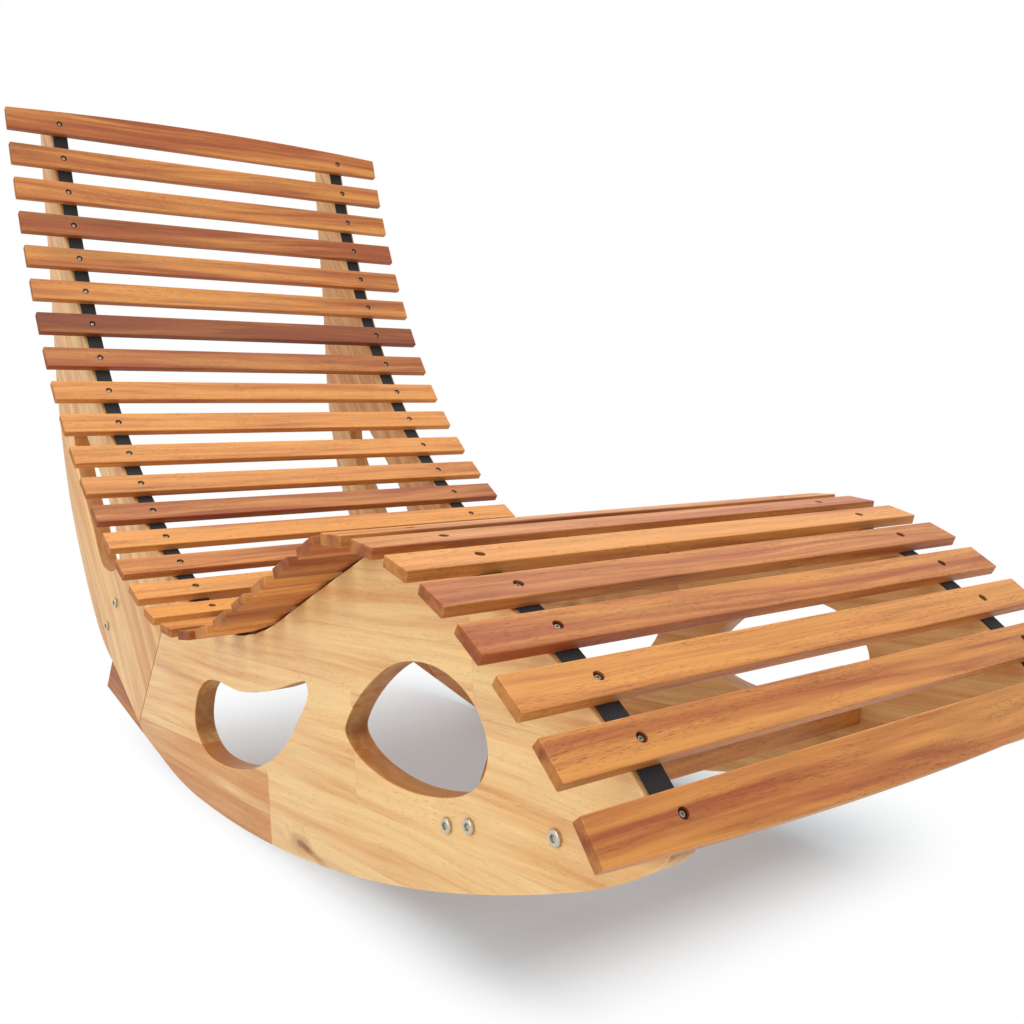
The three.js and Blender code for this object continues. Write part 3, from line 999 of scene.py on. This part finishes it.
def board_mesh(node, side, slat_width, rounding):
    """A board of a side panel as a bmesh, with smooth curves and rounded edges.

    Of the eight rings of each outline, 0 and 7 bound the flat faces, 3 and 4 the wall between them,
    and the others round the edges.
    """
    solid = merged_copy(node)
    loops = outline_loops(solid, side)
    ys = sorted({round(v.co.y, 6) for v in solid.verts}, key=abs, reverse=True)
    outer, inner = ys[0], ys[-1]
    solid.free()
    loops = [finer_loop(loop, index == 0, slat_width) for index, loop in enumerate(loops)]
    spans = [(loops[0][(i + 1) % len(loops[0])] - loops[0][i]).length for i in range(len(loops[0]))]
    joint = spans.index(max(spans))
    quarter = [math.radians(angle) for angle in (0, 30, 60, 90)]
    steps = [(rounding * (1 - math.sin(t)), rounding * (1 - math.cos(t))) for t in quarter]
    rings = [(into, outer - side * down) for into, down in steps]
    rings += [(into, inner + side * down) for into, down in reversed(steps)]
    board = bmesh.new()
    mark = board.verts.layers.float.new("edge")
    wall = board.verts.layers.float.new("wall")
    caps = ([], [])
    for index, loop in enumerate(loops):
        rows = []
        for into, y in rings:
            points = inset(loop, into, joint if index == 0 else None)
            rows.append([board.verts.new((p.x, y, p.y)) for p in points])
        for number, row in enumerate(rows):
            for vert in row:
                vert[mark] = float(number in (1, 2, 5, 6))
                # Rings 3 and 4 carry the painted shade of the walls
                vert[wall] = float(number in (3, 4)) * (1.0 if index else OUTER_WALL_SHADE)
        for low, high in zip(rows, rows[1:]):
            for i in range(len(loop)):
                j = (i + 1) % len(loop)
                board.faces.new((low[i], low[j], high[j], high[i]))
        for cap, row in zip(caps, (rows[0], rows[-1])):
            for i in range(len(row)):
                cap.append(board.edges.get((row[i], row[(i + 1) % len(row)])))
    for cap in caps:
        bmesh.ops.triangle_fill(board, edges=cap, use_beauty=True)
    bmesh.ops.recalc_face_normals(board, faces=board.faces)
    return board


class LOUNGE_OT_panels(bpy.types.Operator):
    """Make the two side panels, each a back board glued to a rocker board"""

    bl_idname = "lounge.panels"
    bl_label = "Side panels"

    def execute(self, context):
        slat_width = slat_frame("slat_02")[2]
        for side_name, side in SIDES.items():
            for board_name, (degrees, start, tone) in BOARDS.items():
                node = f"{side_name}_{board_name}"
                turn = math.radians(degrees)
                along = Vector((math.cos(turn), 0, math.sin(turn)))
                across = Vector((-math.sin(turn), 0, math.cos(turn)))
                start = Vector(start) + LEFT_BOARD_SHIFT * (side > 0)
                spots = [Vector((x, 0, z)) for x, z in BOARD_MARKS.get(node, [])]
                on_grain = [(s.dot(along) + start[0], s.dot(across) + start[1]) for s in spots]
                finish = material(f"Oiled panel wood {node}", panel_wood, along, tone, *on_grain)
                mesh = new_mesh(node, board_mesh(node, side, slat_width, sizes().panel_edge))
                set_grain(mesh, along, across, LENGTHWAYS, start)
                show(f"oiled_{node}", smoothed(mesh), finish, "panel_wood", node)
        return {"FINISHED"}


# -------------------------------- rails and heel blocks


def rounded_copy(node, width):
    """A copy of a node's solid with its edges rounded."""
    solid = merged_copy(node)
    flat = math.radians(0.5)
    bmesh.ops.dissolve_limit(solid, angle_limit=flat, verts=solid.verts, edges=solid.edges)
    carrier = placed("rounded blank", new_mesh(node, solid))
    round_edges(carrier, width)
    return smoothed(bake_down(carrier))


class LOUNGE_OT_rails(bpy.types.Operator):
    """Make the two cross rails and the wedge under the heel of each side panel"""

    bl_idname = "lounge.rails"
    bl_label = "Rails and heel blocks"

    def execute(self, context):
        for index, (node, (slot, along, tone, shade)) in enumerate(RAIL_LOOKS.items()):
            finish = material(f"Oiled {slot}", slat_wood, along)
            mesh = rounded_copy(node, RAIL_EDGE)
            set_edges(mesh, RAIL_EDGE_FACE)
            start = [index * step for step in RAIL_GRAIN_STEP]
            start[0] += RAIL_GRAIN_START
            across = along.cross(Vector((0, 0, 1))).normalized()
            set_grain(mesh, along, across, along.cross(across), start)
            set_tone(mesh, tone, [shade] * len(mesh.vertices))
            show(f"oiled_{node}", mesh, finish, slot, node)
        return {"FINISHED"}


# -------------------------------- straps


class LOUNGE_OT_straps(bpy.types.Operator):
    """Make the two webbing straps that run under the slats"""

    bl_idname = "lounge.straps"
    bl_label = "Straps"

    def execute(self, context):
        finish = material("Black webbing", woven_webbing)
        tree = strap_tree(finish)
        for side_name, side in SIDES.items():
            node = f"{side_name}_strap"
            low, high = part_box(node)
            middle = (low.y + high.y) / 2 - side * STRAP_INSET
            line = []
            for place, _, width, thickness, _ in slat_places().values():
                across, out = place.col[0].xyz, place.col[2].xyz
                under = place.translation - out * (thickness / 2 + STRAP_DROP)
                line += [under - across * width / 2, under + across * width / 2]
            mesh = bpy.data.meshes.new(node)
            points = [(p.x, middle, p.z) for p in line]
            mesh.from_pydata(points, [(i, i + 1) for i in range(len(points) - 1)], [])
            carrier = placed("strap line", mesh)
            tree.run_on(carrier)
            show(f"woven_{node}", smoothed(bake_down(carrier), degrees=50), finish, "webbing", node)
        return {"FINISHED"}


# -------------------------------- screws, bolts and nuts


def hexagon(radius, turn):
    """Distance from the middle of a hexagon to its edge in one direction."""
    sixth = math.pi / 3
    return radius * math.cos(sixth / 2) / math.cos((turn % sixth) - sixth / 2)


def turned(profile, segments=36):
    """A closed shape about Z, from stops: radius, height and whether the ring is a hexagon."""
    shape = bmesh.new()
    rings = []
    for radius, height, six in profile:
        if radius == 0:
            rings.append([shape.verts.new((0, 0, height))])
            continue
        ring = []
        for i in range(segments):
            turn = math.tau * i / segments
            reach = hexagon(radius, turn) if six else radius
            ring.append(shape.verts.new((reach * math.cos(turn), reach * math.sin(turn), height)))
        rings.append(ring)
    for low, high in zip(rings, rings[1:]):
        for i in range(segments):
            j = (i + 1) % segments
            corners = [low[i % len(low)], low[j % len(low)], high[j % len(high)], high[i % len(high)]]
            shape.faces.new(list(dict.fromkeys(corners)))
    bmesh.ops.recalc_face_normals(shape, faces=shape.faces)
    return shape


class LOUNGE_OT_hardware(bpy.types.Operator):
    """Make the slat screws, the panel bolts and the nuts on the foot bolts"""

    bl_idname = "lounge.hardware"
    bl_label = "Screws, bolts and nuts"

    def execute(self, context):
        finish = material("Plated steel", plated_steel)
        # The slat screws get a darker copy of the steel, as painted shade in their seats
        self.add_screws(material("Dull plated steel", plated_steel, SCREW_PAINTED_SHADE))
        for node in frame["nodes"]:
            if node.endswith("_bolt"):
                self.add_bolt(node, finish)
            elif node.endswith("_nut"):
                mesh = rounded_copy(node, NUT_EDGE)
                show(f"plated_{node}", mesh, finish, "steel", node)
        return {"FINISHED"}

    def add_screws(self, finish):
        points, facings = [], []
        clearance = sizes().screw_height * 0.02
        for place, _, _, thickness, _ in slat_places().values():
            for side in SIDES.values():
                floor = Vector((0, side * SEAT_SPREAD, thickness / 2 - SEAT_DEPTH + clearance))
                points.append(place @ floor)
                facings.append(place.col[2].xyz)
        mesh = bpy.data.meshes.new("screw places")
        mesh.from_pydata(points, [], [])
        set_vectors(mesh, "facing", facings)
        carrier = placed("screw places", mesh)
        screw_tree(finish).run_on(carrier)
        show("plated_slat_screws", smoothed(bake_down(carrier), degrees=30), finish, "steel")

    def add_bolt(self, node, finish):
        low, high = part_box(node)
        side = -1 if low.y < 0 else 1
        tip = high.y if side < 0 else low.y
        top = low.y if side < 0 else high.y
        radius = (high.x - low.x) / 2
        length = abs(top - tip)
        profile = [
            (0, -length, False),
            (BOLT_TIP, -length, False),
            (BOLT_SHANK, -length + BOLT_CHAMFER, False),
            (BOLT_SHANK, -BOLT_HEAD, False),
            (radius, -BOLT_HEAD, False),
            *((radius - step, -down, False) for step, down in BOLT_RIM),
            *BOLT_SOCKET,
        ]
        mesh = smoothed(new_mesh(node, turned(profile)))
        turn = Matrix.Rotation(math.radians(90 if side < 0 else -90), 4, "X")
        centre = Vector(((low.x + high.x) / 2, top, (low.z + high.z) / 2))
        mesh.transform(Matrix.Translation(centre) @ turn)
        show(f"plated_{node}", mesh, finish, "steel", node)


# -------------------------------- stage


class LOUNGE_OT_stage(bpy.types.Operator):
    """Make the pale floor, the soft lights and the camera"""

    bl_idname = "lounge.stage"
    bl_label = "Stage"

    def execute(self, context):
        self.add_floor()
        self.add_world(context.scene)
        for name, (place, target, size, power) in LAMPS.items():
            self.add_lamp(name, place, target, size, power)
        self.add_camera(context.scene)
        context.scene.view_settings.view_transform = "Standard"
        return {"FINISHED"}

    def add_floor(self):
        mesh = bpy.data.meshes.new("floor")
        reach = FLOOR_REACH
        corners = [(-reach, -reach, 0), (reach, -reach, 0), (reach, reach, 0), (-reach, reach, 0)]
        mesh.from_pydata(corners, [], [(0, 1, 2, 3)])
        mesh.materials.append(stage_floor("Pale floor"))
        floor = placed("floor", mesh)

    def add_world(self, scene):
        world = bpy.data.worlds.new("Studio")
        world.use_nodes = True
        world.node_tree.nodes.clear()
        tree = Tree(world.node_tree.nodes, world.node_tree.links)
        soft = tree.add("ShaderNodeBackground", {"Color": (1, 1, 1, 1), "Strength": WORLD_LIGHT})
        white = tree.add("ShaderNodeBackground", {"Color": (1, 1, 1, 1), "Strength": 1.0})
        chosen = tree.add("ShaderNodeMixShader", {0: seen_rays(tree), 1: soft, 2: white})
        tree.add("ShaderNodeOutputWorld", {0: chosen})
        scene.world = world

    def add_lamp(self, name, place, target, size, power):
        light = bpy.data.lights.new(name, "AREA")
        light.size = size
        light.energy = power
        lamp = placed(name, light)
        lamp.location = place
        lamp.rotation_euler = (Vector(target) - Vector(place)).to_track_quat("-Z", "Y").to_euler()

    def add_camera(self, scene):
        data = bpy.data.cameras.new("camera")
        data.sensor_width = 36
        data.lens = CAMERA_LENS
        camera = placed("camera", data)
        place = Matrix((CAMERA_RIGHT, CAMERA_UP, CAMERA_BACK)).transposed().to_4x4()
        place.translation = CAMERA_PLACE
        camera.matrix_world = place
        scene.camera = camera


# -------------------------------- add-on


class LOUNGE_PT_pieces(bpy.types.Panel):
    """Lists the pieces of the lounge"""

    bl_label = "Rocking chaise lounge"
    bl_space_type = "VIEW_3D"
    bl_region_type = "UI"
    bl_category = "Lounge"

    def draw(self, context):
        layout = self.layout
        for group in (context.scene.lounge_sizes, context.scene.lounge_colours):
            column = layout.column(align=True)
            for name in group.__annotations__:
                column.prop(group, name)
        for operator in OPERATORS:
            layout.operator(operator.bl_idname)


OPERATORS = (
    LOUNGE_OT_stage,
    LOUNGE_OT_slats,
    LOUNGE_OT_panels,
    LOUNGE_OT_rails,
    LOUNGE_OT_straps,
    LOUNGE_OT_hardware,
)
CLASSES = (LoungeSizes, LoungeColours, *OPERATORS, LOUNGE_PT_pieces)


def register():
    for cls in CLASSES:
        bpy.utils.register_class(cls)
    bpy.types.Scene.lounge_sizes = PointerProperty(type=LoungeSizes)
    bpy.types.Scene.lounge_colours = PointerProperty(type=LoungeColours)


def unregister():
    del bpy.types.Scene.lounge_colours
    del bpy.types.Scene.lounge_sizes
    for cls in reversed(CLASSES):
        bpy.utils.unregister_class(cls)


def main():
    register()
    bpy.ops.lounge.stage()
    bpy.ops.lounge.slats()
    bpy.ops.lounge.panels()
    bpy.ops.lounge.rails()
    bpy.ops.lounge.straps()
    bpy.ops.lounge.hardware()


if __name__ == "__main__":
    main()
